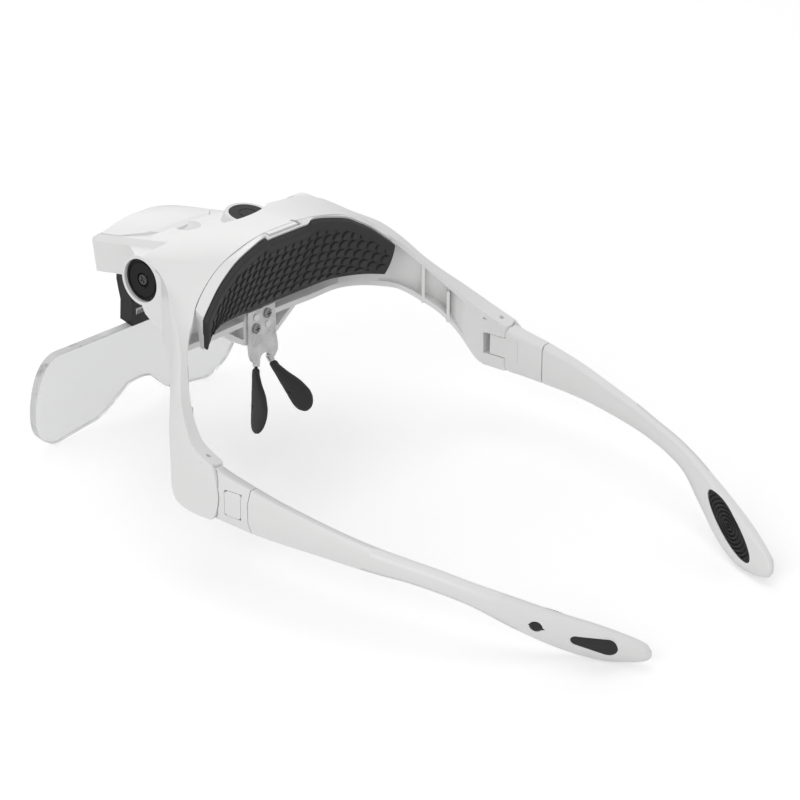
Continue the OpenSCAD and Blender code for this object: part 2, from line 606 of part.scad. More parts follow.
module light_box() {
    color("white") seat() in_box() difference() {
        union() {
            difference() {
                box_outer();
                // electronics bay, closed from below by the lamp plate
                intersection() {
                    translate([0, 0, -8]) linear_extrude(7.1) box_plan(1.8);
                    translate([-30, -42, -9]) cube([60, 43, 12]);
                }
                translate([0, 0, -7]) linear_extrude(2.2) box_plan(0.9);
                // rear bay under the power button
                translate([-21, -17, -2]) cube([16.5, 17, 4.2]);
            }
            both() translate([30, 0, 0]) rotate([0, 90, 0]) cylinder(r = 5.4, h = 3.4);
            boss_frame() translate([0, 0, -4.9]) cylinder(r1 = 9, r2 = button_r + 1.4, h = 5.1);
            // posts the board and the lamp plate are screwed to
            for (s = [-1, 1]) translate([s * 15.4, -14.6, -2.6]) cylinder(r = 2.2, h = 5.4);
            for (s = [-1, 1]) translate([s * 15.4, -14.6, -4.9]) cylinder(r = 1.35, h = 3);
        }
        // wells for the cells, slot for the strips below, ledge for the lid
        for (i = [-1 : 1]) translate([i * cell_pitch, cell_y, 0.3])
            cylinder(r = cell_r + 0.1, h = 12);
        translate([-16.2, cell_y - 4.7, 0.1]) cube([32.4, 9.4, 0.6]);
        translate([0, 0, 3.55]) linear_extrude(6) lid_plan(1.2);
        translate([0, 0, lid_under - 0.05]) linear_extrude(6) lid_plan(-0.15);
        translate([-lid_half - 0.15, -38.8, lid_under - 0.05]) cube([2 * lid_half + 0.3, 1, 6]);
        translate([-7.2, -39.6, 4.65]) cube([14.4, 2, 1.5]);
        boss_frame() translate([0, 0, -2.6]) cylinder(r = button_r + 0.15, h = 6);
        boss_frame() translate([0, 0, -4.2]) cylinder(r = 3.2, h = 4);
        boss_frame() translate([0, 0, -9]) cylinder(r = 1.8, h = 8);
        // finger scoop behind the lid
        translate([2.5, -13.4, 9.6]) sphere(r = 5.2);
        // slot for the lens holder's barrel and neck
        translate([-holder_half - 0.3, -46, -8]) cube([2 * holder_half + 0.6, 8.4, 6.6]);
        translate([-hp_half - 0.1, hp_y, hp_z]) rotate([0, 90, 0])
            cylinder(r = 0.78, h = 2 * hp_half + 0.2);
        both() lamp_hole(0.02);
        // square sockets and threads for the knobs
        both() translate([30.2, 0, 0]) rotate([0, 90, 0]) cylinder(r = 2.2, h = 5, $fn = 4);
        both() translate([25, 0, 0]) rotate([0, 90, 0]) cylinder(r = 0.9, h = 8);
        for (s = [-1, 1]) translate([s * 15.4, -14.6, -7]) cylinder(r = 0.8, h = 6);
    }
}
module lamp_plate() {
    color("white") seat() in_box() difference() {
        translate([0, 0, -6.3]) linear_extrude(1.4) box_plan(1);
        translate([-40, 3, -10]) cube([80, 10, 10]);
        difference() {
            translate([-40, 0, -8]) cube([80, 12, 5]);
            translate([-41, 0, 0]) rotate([0, 90, 0]) cylinder(r = 6.25, h = 82);
        }
        both() translate([29.5, 0, 0]) rotate([0, 90, 0]) cylinder(r = 5.5, h = 5);
        translate([-holder_half - 0.3, -46, -8]) cube([2 * holder_half + 0.6, 8.4, 6.6]);
        both() lamp_hole(0.05);
        both() translate([led_x, led_y, led_z]) rotate([135, 0, 0]) translate([0, 0, -1])
            cylinder(r = led_r + 0.5, h = 1.1);
        translate([-hp_half - 0.1, hp_y, hp_z]) rotate([0, 90, 0])
            cylinder(r = 0.85, h = 2 * hp_half + 0.2);
        for (s = [-1, 1]) translate([s * 15.4, -14.6, -7]) cylinder(r = 0.95, h = 6);
        for (s = [-1, 1]) translate([s * 15.4, -14.6, -7]) cylinder(r = 1.7, h = 1.3);
    }
}
module box_screws() {
    color("#8f9296") seat() in_box() for (s = [-1, 1]) translate([s * 15.4, -14.6, -6.3])
        difference() {
            union() {
                cylinder(r = 1.6, h = 0.6);
                cylinder(r = 0.8, h = 4.4);
            }
            for (a = [0, 90]) rotate([0, 0, a]) translate([-0.9, -0.2, -1]) cube([1.8, 0.4, 1.35]);
        }
}
module battery_lid() {
    color("white") seat() in_box() {
        // catch under the front rim, and the round heel the lid tips on
        translate([-7, -39.2, lid_under]) cube([14, 2.4, 0.7]);
        translate([-lid_half + 0.3, lid_axis_y, lid_axis_z]) rotate([0, 90, 0])
            cylinder(r = 0.5, h = 2 * lid_half - 0.6);
        difference() {
            intersection() {
                translate([0, 0, lid_under]) linear_extrude(8) lid_plan(0);
                rotate([90, 0, 0]) translate([0, 0, 10]) linear_extrude(40)
                    polygon(concat([[-25, 0], [-25, 5]], arch(9, 20.5, 24, 110),
                        [[25, 5], [25, 0]]));
                // crowned fore and aft
                translate([-30, -34, 9 - 55]) rotate([0, 90, 0])
                    cylinder(r = 55, h = 60, $fn = 180);
            }
            translate([0, 0, 4]) linear_extrude(2.4) lid_plan(1.6);
            translate([-25, -38.9, lid_under - 0.5]) cube([50, 1, 1]);
        }
    }
}
module cell(i) {
    color("#c9ccd1") seat() in_box() translate([i * cell_pitch, cell_y, 0.5]) {
        cylinder(r = cell_r, h = cell_h);
        translate([0, 0, -0.2]) cylinder(r = cell_r - 1.4, h = 0.3);
    }
}
module contact(a, b, z) {
    color("#c2a25a") seat() in_box() translate([a, cell_y - 4.6, z])
        cube([b - a, 9.2, 0.2]);
}
module circuit_board() {
    color("#1f6b3a") seat() in_box() difference() {
        union() {
            translate([-box_half + 2.6, -36, -3.6]) cube([2 * box_half - 5.2, 21.5, 1]);
            translate([-20.6, -16, -3.6]) cube([15.6, 16.4, 1]);
        }
        translate([0, 0, -4]) linear_extrude(2) translate([-holder_half - 0.4, -46])
            square([2 * holder_half + 0.8, 8.6]);
        both() translate([led_x, led_y, led_z]) rotate([135, 0, 0]) translate([0, 0, -6])
            cylinder(r = led_r + 0.6, h = 18);
        for (s = [-1, 1]) translate([s * 15.4, -14.6, -7]) cylinder(r = 1.4, h = 6);
    }
}
module switch_body() {
    color("#3a3a3c") seat() in_box() {
        translate([boss_x - 3, boss_y - 2.6, -2.6]) cube([6, 4, 2.2]);
        translate([boss_x, boss_y - 0.3, -0.4]) cylinder(r = 1.2, h = 0.55);
    }
}
module power_button() {
    color("#1f1f1f") seat() in_box() boss_frame() difference() {
        union() {
            translate([0, 0, -1.9]) cylinder(r = button_r, h = 2.1);
            translate([0, 0, -6.6]) cylinder(r = 1.5, h = 5.2);
        }
        difference() {
            translate([0, 0, 0.05]) cylinder(r = 3.1, h = 1);
            translate([0, 0, -1]) cylinder(r = 2.8, h = 3);
        }
    }
}
module button_coil() {
    color("#b8bbbf") seat() in_box() boss_frame() translate([0, 0, -4.2]) coil(2.35, 0.2, 2.3, 2);
}
module led() {
    color("#dfe8ee") seat() in_box() translate([led_x, led_y, led_z]) rotate([135, 0, 0]) {
        cylinder(r = led_r, h = 2.4);
        translate([0, 0, 2.4]) sphere(r = led_r);
        translate([0, 0, -0.9]) cylinder(r = led_r + 0.4, h = 0.9);
    }
}
module pivot_knob() {
    color("#1f1f1f") seat() in_box() difference() {
        union() {
            translate([knob_face - knob_t, 0, 0]) rotate([0, 90, 0])
                cylinder(r = knob_r, h = knob_t);
            translate([lug_in - 0.2, 0, 0]) rotate([0, 90, 0])
                cylinder(r = shank_r, h = knob_face - lug_in);
            translate([30.3, 0, 0]) rotate([0, 90, 0]) cylinder(r = 2.1, h = 4, $fn = 4);
        }
        translate([20, 0, 0]) rotate([0, 90, 0]) cylinder(r = 1.05, h = 30);
        translate([knob_face - 1, 0, 0]) rotate([0, 90, 0]) cylinder(r = 2.2, h = 3);
        // groove inside the rim
        translate([knob_face - 0.35, 0, 0]) rotate([0, 90, 0]) difference() {
            cylinder(r = knob_r - 0.75, h = 2);
            translate([0, 0, -1]) cylinder(r = knob_r - 1.2, h = 5);
        }
        // index marks
        for (a = [22, 52, 82, 112]) rotate([a, 0, 0])
            translate([knob_face - 0.35, -0.35, 3.9 - knob_r]) cube([1, 0.7, 1.1]);
    }
}
module pivot_screw() {
    color("#2b2b2d") seat() in_box() difference() {
        union() {
            translate([25.4, 0, 0]) rotate([0, 90, 0]) cylinder(r = 0.9, h = knob_face - 26);
            translate([knob_face - 1, 0, 0]) rotate([0, 90, 0]) cylinder(r1 = 2, r2 = 1.7, h = 0.9);
        }
        for (a = [20, 110]) translate([knob_face - 0.5, 0, 0]) rotate([a, 0, 0])
            translate([0, -1.2, -0.2]) cube([1, 2.4, 0.4]);
    }
}
module pivot_washer() {
    color("#d8d4c8") seat() in_box() translate([33.42, 0, 0]) rotate([0, 90, 0]) difference() {
        cylinder(r = 5, h = 0.44);
        translate([0, 0, -1]) cylinder(r = shank_r + 0.1, h = 3);
    }
}

// The tilt axis of the lens holder in the unpitched frame.
hinge_y = tilt_y + hp_y * cos(box_pitch) - hp_z * sin(box_pitch);
hinge_z = tilt_z + hp_y * sin(box_pitch) + hp_z * cos(box_pitch);
module in_lens() {
    translate([0, lens_y, lens_z]) rotate([-lens_lean, 0, 0]) children();
}
module holder_outline() {
    translate([hinge_y, hinge_z]) circle(2.3);
    polygon([[hinge_y - 2.3, hinge_z], [-100.7, 12.4], [-99.9, 8.4], [-99.2, 5.4],
        [-99.9, -3.2], [-94.1, -4.3], [-93.6, 5.6], [-94.6, 7], [-95.9, 8.6], [-96.5, 11],
        [-96.3, 15], [hinge_y + 2.2, hinge_z - 0.5]]);
}
module lens_holder() {
    color("#1c1c1d") seat() difference() {
        along_x(-holder_half, holder_half) holder_outline();
        translate([-20, hinge_y, hinge_z]) rotate([0, 90, 0]) cylinder(r = 0.82, h = 40);
        // slot for the lens plate
        in_lens() translate([-7.05, -lens_t / 2 - 0.03, -8]) cube([14.1, lens_t + 0.06, 14.1]);
        // stops just short of the plate's top edge
        in_lens() translate([-20, -10, -11.7]) cube([40, 20, 12]);
        for (x = [-6, -3, 0, 3, 6]) translate([x - 0.4, -96.75, 8.8]) cube([0.8, 2, 9]);
    }
}
module lens_holder_pin() {
    color("#b8bbbf") seat() in_box() translate([-hp_half, hp_y, hp_z]) rotate([0, 90, 0])
        cylinder(r = 0.78, h = 2 * hp_half);
}
lens_half = [[0, -24.2], [5, -25], [9.4, -28.6], [13.8, -32.4], [18, -34.6], [24, -35.4],
    [31, -36.4], [36.5, -37.05], [41.5, -34.6], [45.6, -30.4], [47.9, -24], [48.8, -16],
    [48.1, -8], [45.8, -2.8], [42, -0.2], [36, 0]];
module lens_plate() {
    rim = curve(lens_half, 4);
    color([0.9, 0.95, 0.97, 0.35]) seat() in_lens() {
        translate([0, lens_t / 2, 0]) rotate([90, 0, 0]) linear_extrude(lens_t)
            polygon(concat([for (i = [len(rim) - 1 : -1 : 1]) [-rim[i][0], rim[i][1]]], rim,
                [[7, 0], [7, 6], [-7, 6], [-7, 0]]));
    }
}

front_frame();
pad_carrier();
forehead_pad();
nose_plate();
nose_screws();
nose_stem(1);  // nose_stem_left
nose_stem(-1);  // nose_stem_right
nose_pad(1);  // nose_pad_left
nose_pad(-1);  // nose_pad_right
hinge_pin();  // hinge_pin_left
mirror([1, 0, 0]) hinge_pin();  // hinge_pin_right
temple_base();  // temple_base_left
mirror([1, 0, 0]) temple_base();  // temple_base_right
release_button();  // release_button_left
mirror([1, 0, 0]) release_button();  // release_button_right
button_spring();  // release_spring_left
mirror([1, 0, 0]) button_spring();  // release_spring_right
temple_arm();  // temple_arm_left
mirror([1, 0, 0]) temple_arm();  // temple_arm_right
temple_cushion();  // temple_cushion_left
mirror([1, 0, 0]) temple_cushion();  // temple_cushion_right
light_box();
lamp_plate();
box_screws();
battery_lid();
cell(1);  // cell_left
cell(0);  // cell_middle
cell(-1);  // cell_right
contact(0.6, 15.9, 0.1);  // contact_under_left
contact(-15.9, -6.2, 0.1);  // contact_under_right
contact(6.2, 15.2, 0.5 + cell_h);  // contact_over_left
contact(-15.2, 4.5, 0.5 + cell_h);  // contact_over_right
circuit_board();
switch_body();
power_button();
button_coil();  // power_spring
led();  // led_left
mirror([1, 0, 0]) led();  // led_right
pivot_knob();  // knob_left
mirror([1, 0, 0]) pivot_knob();  // knob_right
pivot_screw();  // knob_screw_left
mirror([1, 0, 0]) pivot_screw();  // knob_screw_right
pivot_washer();  // washer_left
mirror([1, 0, 0]) pivot_washer();  // washer_right
lens_holder();
lens_holder_pin();
lens_plate();
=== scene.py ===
import math

import bpy
import numpy as np
from mathutils import Matrix


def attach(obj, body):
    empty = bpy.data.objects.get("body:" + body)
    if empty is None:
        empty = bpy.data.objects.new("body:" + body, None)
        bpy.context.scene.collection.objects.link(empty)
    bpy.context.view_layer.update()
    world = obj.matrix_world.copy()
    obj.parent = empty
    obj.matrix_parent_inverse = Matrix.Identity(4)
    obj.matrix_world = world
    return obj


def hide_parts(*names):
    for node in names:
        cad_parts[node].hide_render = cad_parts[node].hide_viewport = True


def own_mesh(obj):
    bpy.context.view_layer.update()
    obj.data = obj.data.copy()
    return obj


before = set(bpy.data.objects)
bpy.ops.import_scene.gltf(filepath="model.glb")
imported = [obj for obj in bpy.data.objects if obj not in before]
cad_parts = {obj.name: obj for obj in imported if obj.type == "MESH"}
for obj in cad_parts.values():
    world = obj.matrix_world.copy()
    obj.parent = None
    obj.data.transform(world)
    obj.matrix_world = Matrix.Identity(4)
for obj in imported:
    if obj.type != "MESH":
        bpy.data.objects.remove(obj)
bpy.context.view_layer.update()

# Camera. Behind the wearer's left temple and above it, as in the picture: a long
# lens, 108 mm on a 36 mm frame, so the near temple is little larger than the far one.
eye = (0.520111, 0.433801, 0.338252)
turn, rise, roll = (math.radians(a) for a in (50.304, 24.0, 0.0814))
back = np.array([math.sin(turn) * math.cos(rise), math.cos(turn) * math.cos(rise),
                 math.sin(rise)])
right = np.array([-math.cos(turn), math.sin(turn), 0.0])
up = np.cross(back, right)
right, up = (right * math.cos(roll) + up * math.sin(roll),
             up * math.cos(roll) - right * math.sin(roll))
lens = bpy.data.cameras.new("picture_camera")
lens.lens, lens.sensor_width, lens.clip_start = 108.0, 36.0, 0.01
camera = bpy.data.objects.new("picture_camera", lens)
camera.matrix_world = Matrix([[right[i], up[i], back[i], eye[i]] for i in range(3)]
                             + [[0, 0, 0, 1]])
bpy.context.scene.collection.objects.link(camera)
bpy.context.scene.camera = camera
bpy.context.scene.view_settings.view_transform = "Standard"


# Floor and lamps. A pale sheet under the object that reads white from the camera and
# keeps the soft contact shadow; two wide lamps, a weak fill and an even pale world.
class Val:
    """A socket that takes + - and *. Each adds its own Math node."""

    def __init__(self, coat, socket):
        self.coat, self.socket = coat, socket

    def math(self, operation, *others):
        return self.coat.node("ShaderNodeMath", {"operation": operation}, self, *others)

    def __add__(self, other):
        return self.math("ADD", other)

    def __mul__(self, other):
        return self.math("MULTIPLY", other)

    def __sub__(self, other):
        return self.math("SUBTRACT", other)

    def __rsub__(self, other):
        return self.coat.node("ShaderNodeMath", {"operation": "SUBTRACT"}, other, self)

    def clamp(self):
        return self.coat.node("ShaderNodeClamp", {}, self)


class Coat:
    """A material round one Principled shader. Any node but a Math node on values comes
    from node(), which sets its settings first and then its inputs, in order."""

    def __init__(self, name):
        self.material = bpy.data.materials.new(name)
        self.material.use_nodes = True
        self.tree = self.material.node_tree
        self.shader = self.tree.nodes["Principled BSDF"]
        self.at = Val(self, self.tree.nodes.new("ShaderNodeTexCoord").outputs["Object"])

    def node(self, kind, settings, *inputs, out=0):
        made = self.tree.nodes.new(kind)
        for key, value in settings.items():
            if key == "stops":
                for stop, (place, shade) in zip(made.color_ramp.elements, value):
                    stop.position, stop.color = place, (shade, shade, shade, 1)
            else:
                setattr(made, key, value)
        for socket, value in zip(made.inputs, inputs):
            if isinstance(value, Val):
                self.tree.links.new(value.socket, socket)
            elif value is not None:
                socket.default_value = value
        return Val(self, made.outputs[out])

    def noise(self, per_metre, detail=2.0, roughness=0.5, where=None):
        return self.node("ShaderNodeTexNoise", {}, where or self.at, None, per_metre, detail,
                         roughness)

    def mix(self, mask, low, high):
        made = self.node("ShaderNodeMix", {"data_type": "RGBA"}, out=2)
        inputs = made.socket.node.inputs
        for index, value in ((0, mask), (6, low), (7, high)):
            if isinstance(value, Val):
                self.tree.links.new(value.socket, inputs[index])
            else:
                inputs[index].default_value = value if index == 0 else (*value, 1)
        return made

    def feed(self, **values):
        for name, value in values.items():
            socket = self.shader.inputs[name.replace("_", " ")]
            if isinstance(value, Val):
                self.tree.links.new(value.socket, socket)
            else:
                socket.default_value = value

    def bump(self, height, depth):
        made = self.node("ShaderNodeBump", {}, 1.0, depth)
        self.tree.links.new(height.socket, made.socket.node.inputs["Height"])
        self.feed(Normal=made)


def flat_sheet(name, half, height):
    """One square of side twice half, level at a height, all in metres."""
    mesh = bpy.data.meshes.new(name)
    mesh.from_pydata([(-half, -half, height), (half, -half, height), (half, half, height),
                      (-half, half, height)], [], [(0, 1, 2, 3)])
    sheet = bpy.data.objects.new(name, mesh)
    bpy.context.scene.collection.objects.link(sheet)
    return sheet


floor_half, floor_height, paper_glow = 6.0, -0.0004, 0.24
floor = flat_sheet("studio_floor", floor_half, floor_height)
paper = Coat("studio_paper")
paper.feed(Base_Color=(0.92, 0.92, 0.92, 1), Roughness=0.9)
# the camera alone sees a little glow added to the paper, none of it falls on the object
shown = paper.node("ShaderNodeLightPath", {})
glow = paper.node("ShaderNodeEmission", {}, (1, 1, 1, 1), paper_glow)
unlit = paper.node("ShaderNodeEmission", {}, (0, 0, 0, 1), 0.0)
lit = paper.node("ShaderNodeMixShader", {}, shown)
together = paper.node("ShaderNodeAddShader", {})
paper.tree.links.new(paper.shader.outputs[0], together.socket.node.inputs[0])
paper.tree.links.new(unlit.socket, lit.socket.node.inputs[1])
paper.tree.links.new(glow.socket, lit.socket.node.inputs[2])
paper.tree.links.new(lit.socket, together.socket.node.inputs[1])
paper.tree.links.new(together.socket, paper.tree.nodes["Material Output"].inputs["Surface"])
floor.data.materials.append(paper.material)


def lamp(name, place, aim, size, watts):
    """A round area lamp that faces aim: its own +Z points from aim back to the lamp."""
    light = bpy.data.lights.new(name, "AREA")
    light.shape, light.size, light.energy = "DISK", size, watts
    holder = bpy.data.objects.new(name, light)
    away = np.array(place, float) - np.array(aim, float)
    away /= np.linalg.norm(away)
    side = np.cross((0, 0, 1), away)
    side /= np.linalg.norm(side)
    over = np.cross(away, side)
    holder.matrix_world = Matrix([[side[i], over[i], away[i], place[i]] for i in range(3)]
                                 + [[0, 0, 0, 1]])
    bpy.context.scene.collection.objects.link(holder)


middle_of_object, air_strength = (0, 0, 0.03), 0.60
lamp("lamp_above", (0.05, -0.10, 1.3), middle_of_object, 1.2, 2.8)
lamp("lamp_left", (1.2, 0.2, 0.7), middle_of_object, 0.9, 3.6)
lamp("lamp_front", (-0.7, -1.0, 0.6), middle_of_object, 0.8, 1.6)
# the world lights the object a little, and camera, glass and gloss see it as plain white
world = bpy.data.worlds.new("studio_air")
bpy.context.scene.world = world
world.use_nodes = True
air = world.node_tree
sky = air.nodes["Background"]
sky.inputs["Color"].default_value = (1, 1, 1, 1)
sky.inputs["Strength"].default_value = air_strength
bright = air.nodes.new("ShaderNodeBackground")
bright.inputs["Strength"].default_value = 1.0
rays = air.nodes.new("ShaderNodeLightPath")
most = air.nodes.new("ShaderNodeMath")
most.operation = "MAXIMUM"
air.links.new(rays.outputs["Is Camera Ray"], most.inputs[0])
air.links.new(rays.outputs["Is Transmission Ray"], most.inputs[1])
either = air.nodes.new("ShaderNodeMath")
either.operation = "MAXIMUM"
air.links.new(most.outputs[0], either.inputs[0])
air.links.new(rays.outputs["Is Glossy Ray"], either.inputs[1])
choose = air.nodes.new("ShaderNodeMixShader")
air.links.new(either.outputs[0], choose.inputs[0])
air.links.new(sky.outputs[0], choose.inputs[1])
air.links.new(bright.outputs[0], choose.inputs[2])
air.links.new(choose.outputs[0], air.nodes["World Output"].inputs["Surface"])


# White mouldings: satin injection-moulded plastic, with a very fine grain, a little
# unevenness of gloss where it flowed, and edges rounded by the mould.
def white_plastic():
    coat = Coat("white_satin_plastic")
    flow = coat.noise(38, 3.0, 0.55)
    grain = coat.noise(5200, 1.0, 0.5)
    coat.feed(Base_Color=coat.mix(flow, (0.80, 0.80, 0.795), (0.84, 0.84, 0.838)),
              Roughness=flow * 0.16 + 0.26, Coat_Weight=flow * 0.10 + 0.05)
    coat.shader.inputs["Coat Roughness"].default_value = 0.22
    coat.bump(grain * 0.5 + flow * 0.5, 0.00002)
    return coat.material


weld = 2e-6


def smoothed(node, body, coat, crease=34.0, round_mm=0.0):
    """A copy of a CAD solid's surface with its loose triangles joined at their corners
    and shaded smooth, except over edges that turn by more than crease degrees. Where
    round_mm is given, those edges get a small radius instead, as a mould leaves them."""
    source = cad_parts[node].data
    count = len(source.vertices)
    place = np.empty(count * 3)
    source.vertices.foreach_get("co", place)
    place = place.reshape(-1, 3)
    corner = np.empty(len(source.loops), int)
    source.loops.foreach_get("vertex_index", corner)
    key, joined = np.unique(np.round(place / weld).astype(np.int64), axis=0,
                            return_inverse=True)
    joined = joined.reshape(-1)
    firsts = np.zeros((len(key), 3))
    firsts[joined] = place
    faces = joined[corner].reshape(-1, 3)
    good = (faces != np.roll(faces, 1, 1)).all(1)
    mesh = bpy.data.meshes.new(node + "_skin")
    mesh.from_pydata(firsts.tolist(), [], faces[good].tolist())
    mesh.shade_smooth()
    mesh.set_sharp_from_angle(angle=math.radians(crease))
    mesh.materials.append(coat)
    piece = bpy.data.objects.new(node + "_skin", mesh)
    bpy.context.scene.collection.objects.link(piece)
    if round_mm:
        edge = piece.modifiers.new("moulded_edge", "BEVEL")
        edge.width, edge.segments, edge.limit_method = round_mm / 1000, 2, "ANGLE"
        edge.angle_limit, edge.harden_normals = math.radians(crease), True
        edge.use_clamp_overlap = True
    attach(piece, body)
    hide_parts(node)
    return piece


white = white_plastic()
mould_round_mm = 0.18
for node, body, crease in (
        ("front_frame", "frame", 42), ("pad_carrier", "frame", 42), ("light_box", "lamp_head", 38),
        ("lamp_plate", "lamp_head", 38), ("battery_lid", "lid", 38),
        ("temple_base_left", "base_left", 64), ("temple_base_right", "base_right", 64),
        ("release_button_left", "latch_left", 50), ("release_button_right", "latch_right", 50),
        ("temple_arm_left", "arm_left", 64), ("temple_arm_right", "arm_right", 64)):
    smoothed(node, body, white, crease, mould_round_mm)


# Forehead pad: one soft black rubber moulding, 2.2 mm thick, pressed onto the carrier.
# Its face carries round leaning discs in rows, 3.65 mm apart along a row, inside a
# smooth border that is wider along the top, under the clip. The moat round each disc
# is painted darker: painted shade in the groove.
def black_moulding(name, shade, gloss, grain_per_metre, depth, shine=0.3):
    """Black rubber or plastic: the colour is nearly even, with a dusty bloom in clouds,
    and the skin of the mould leaves a fine grain that dulls the gloss."""
    coat = Coat(name)
    cloud = coat.noise(120, 3.0, 0.6)
    grain = coat.noise(grain_per_metre, 2.0, 0.6)
    coat.feed(Base_Color=coat.mix(cloud, (shade * 0.75,) * 3, (shade * 1.3,) * 3),
              Roughness=cloud * 0.2 + gloss, Specular_IOR_Level=shine)
    coat.bump(grain, depth)
    return coat


hinge_middle = (0, -12.22, 39.206)


def hinge_mm(points):
    """Millimetres from the middle of the hinge line to metres in the part's own frame."""
    return (np.asarray(points, float) + hinge_middle) / 1000


def fair_line(stations, steps):
    """Catmull-Rom curve: between stations b and c, with neighbours a and d, the point at
    share t is half of 2b + (c-a)t + (2a-5b+4c-d)tt + (3b-a-3c+d)ttt."""
    line = np.asarray(stations, float)
    line = np.vstack([line[:1], line, line[-1:]])
    a, b, c, d = (line[k:len(line) - 3 + k, None] for k in range(4))
    t = (np.arange(steps) / steps)[None, :, None]
    t = t.reshape(1, steps, *[1] * (a.ndim - 2))
    curve = 0.5 * (2 * b + (c - a) * t + (2 * a - 5 * b + 4 * c - d) * t * t
                   + (3 * b - a - 3 * c + d) * t ** 3)
    return np.concatenate([curve.reshape(-1, *line.shape[1:]), line[-1:]])


def lofted(name, rings, coat, body, slot, *nodes, crease=80.0):
    """Closed skin over an (n, m, 3) array of rings in hinge millimetres, an end cap on
    the first and last ring. Turned right side out by the sign of its volume."""
    rows, cols = rings.shape[:2]
    place = hinge_mm(rings.reshape(-1, 3))
    k = np.arange(rows * cols).reshape(rows, cols)
    a, b = k[:-1], np.roll(k, -1, 1)[:-1]
    quads = np.stack([a, b, b + cols, a + cols], -1).reshape(-1, 4)
    shifted = place - place.mean(0)
    volume = np.einsum("ij,ij->i", shifted[quads[:, 0]],
                       np.cross(shifted[quads[:, 1]], shifted[quads[:, 2]])
                       + np.cross(shifted[quads[:, 2]], shifted[quads[:, 3]])).sum()
    faces = quads.tolist() + [k[0][::-1].tolist(), k[-1].tolist()]
    if volume < 0:
        faces = [face[::-1] for face in faces]
    mesh = bpy.data.meshes.new(name)
    mesh.from_pydata(place.tolist(), [], faces)
    mesh.shade_smooth()
    mesh.set_sharp_from_angle(angle=math.radians(crease))
    mesh.materials.append(coat.material)
    piece = bpy.data.objects.new(name, mesh)
    bpy.context.scene.collection.objects.link(piece)
    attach(piece, body)
    if nodes:
        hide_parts(*nodes)
    return piece


def mark(piece, name, values):
    """Keeps one number a vertex under a name that the piece's material reads."""
    layer = piece.data.attributes.new(name, "FLOAT", "POINT")
    layer.data.foreach_set("value", np.asarray(values, np.float32).ravel())


pad_out = np.array([0, 0.909, -0.416])
pad_thick, pad_crown, pad_round = 2.2, 0.7, 0.9
disc_rise, disc_r, disc_pitch, row_pitch = 0.5, 1.62, 3.65, 3.45
border_top, border_low, border_end, border_ramp = 3.0, 1.9, 1.7, 0.5
moat_off, moat_half, moat_deep, moat_gain, moat_cut = 0.12, 0.22, 0.55, 1.7, 0.25
lean_along, lean_up = 0.82, 0.57
half_top = [[0, -29.6, 41.2], [6, -29.6, 41.2], [9.6, -29.5, 41.2], [10.9, -29, 42.6],
            [16.1, -28.2, 42], [25, -27.2, 39.7], [30.4, -26.7, 37], [35.6, -25.9, 33.9],
            [40.5, -24.9, 30], [44.2, -24, 27]]
half_low = [[0, -41.6, 15], [6, -41.2, 15.1], [9.6, -40.7, 15.4], [11.4, -40.3, 15.6],
            [16.5, -38.6, 16.6], [24.1, -36.6, 17.5], [28.8, -35, 17.6], [33.4, -32.6, 17.6],
            [38, -30.1, 17.2], [41.8, -26.6, 16.8]]


def both_ways(half):
    """A line from the middle outwards, led on by its mirror image across x = 0."""
    return np.vstack([np.array(half[:0:-1]) * (-1, 1, 1), half])


pad_top, pad_low = (fair_line(both_ways(half), 12) for half in (half_top, half_low))
# a grid of even steps along the pad by shares of its width, from top edge to low edge
walk = np.r_[0, np.cumsum(np.linalg.norm(np.diff((pad_top + pad_low) / 2, axis=0), axis=1))]
along = np.linspace(0, walk[-1], 420)
pad_top, pad_low = (np.stack([np.interp(along, walk, edge[:, c]) for c in range(3)], 1)
                    for edge in (pad_top, pad_low))
share = np.linspace(0, 1, 120)
width = np.linalg.norm(pad_low - pad_top, axis=1)[:, None]
from_top, from_low = share * width, (1 - share) * width
from_end = np.minimum(along, along[-1] - along)[:, None] + 0 * share
to_edge = np.minimum(np.minimum(from_top, from_low), from_end)
# discs: each leans, highest at the rim towards the wearer's left and top, where a short
# moat runs round it, and level with the ground of the pad at the opposite rim
s_at = along[:, None] - along[-1] / 2 + 0 * share
t_at = (share - 0.5) * width
near_s, near_t = np.round(s_at / disc_pitch), np.round(t_at / row_pitch)
rise, groove = np.zeros_like(s_at), np.zeros_like(s_at)
for step_s in (-1, 0, 1):
    for step_t in (-1, 0, 1):
        ds = s_at - disc_pitch * (near_s + step_s)
        dt = t_at - row_pitch * (near_t + step_t)
        off, lean = np.hypot(ds, dt), lean_along * ds - lean_up * dt
        rise = np.maximum(rise, (0.5 + 0.5 * lean / disc_r) * (off < disc_r))
        moat = np.exp(-((off - disc_r - moat_off) / moat_half) ** 2) * (off >= disc_r - 0.1)
        facing = np.clip(moat_gain * lean / np.maximum(off, 0.1) - moat_cut, 0, 1)
        groove = np.maximum(groove, moat * facing)
inside = np.clip((from_top - border_top) / border_ramp, 0, 1) \
    * np.clip((from_low - border_low) / border_ramp, 0, 1) \
    * np.clip((from_end - border_end) / border_ramp, 0, 1)
